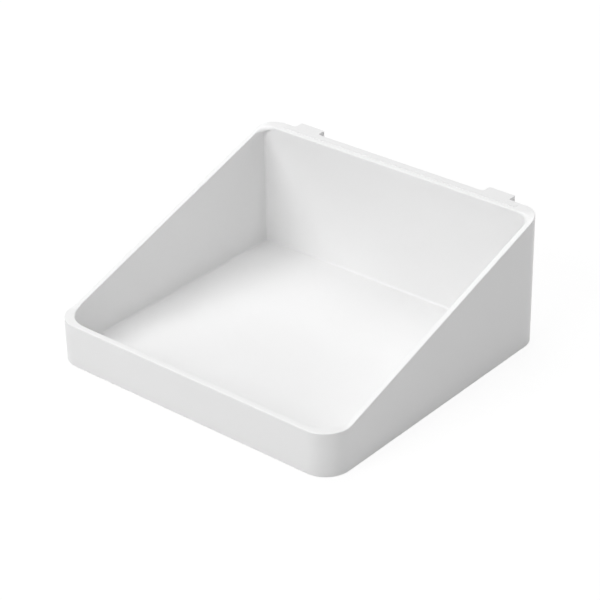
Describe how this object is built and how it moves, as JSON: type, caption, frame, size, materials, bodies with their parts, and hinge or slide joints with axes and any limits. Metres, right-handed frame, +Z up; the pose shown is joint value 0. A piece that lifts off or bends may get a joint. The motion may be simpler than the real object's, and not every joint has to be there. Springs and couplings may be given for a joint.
{
  "type": "pegboard tray",
  "caption": "White moulded tray with a low front lip, sloping side walls and a tall back, hung on a slotted pegboard by flat hooks on a plate screwed into the back.",
  "frame": {"origin": "on the surface that the tray stands on, under the middle of the whole object with its hooks", "axes": "+Z up, -Y towards the low front lip, +Y towards the board, +X to the right when looking at the board"},
  "size_m": [0.145, 0.1404, 0.0585],
  "materials": {
    "shell": "white, satin, fine moulded texture",
    "plate": "white, satin, fine moulded texture",
    "screw": "zinc plated",
    "bumper": "pale grey, matt"
  },
  "bodies": {
    "root": {"tray_shell": "shell", "hook_plate": "plate", "screw_upper_left": "screw", "screw_upper_right": "screw", "screw_lower_left": "screw", "screw_lower_right": "screw", "bumper_left": "bumper", "bumper_right": "bumper"}
  },
  "joints": []
}
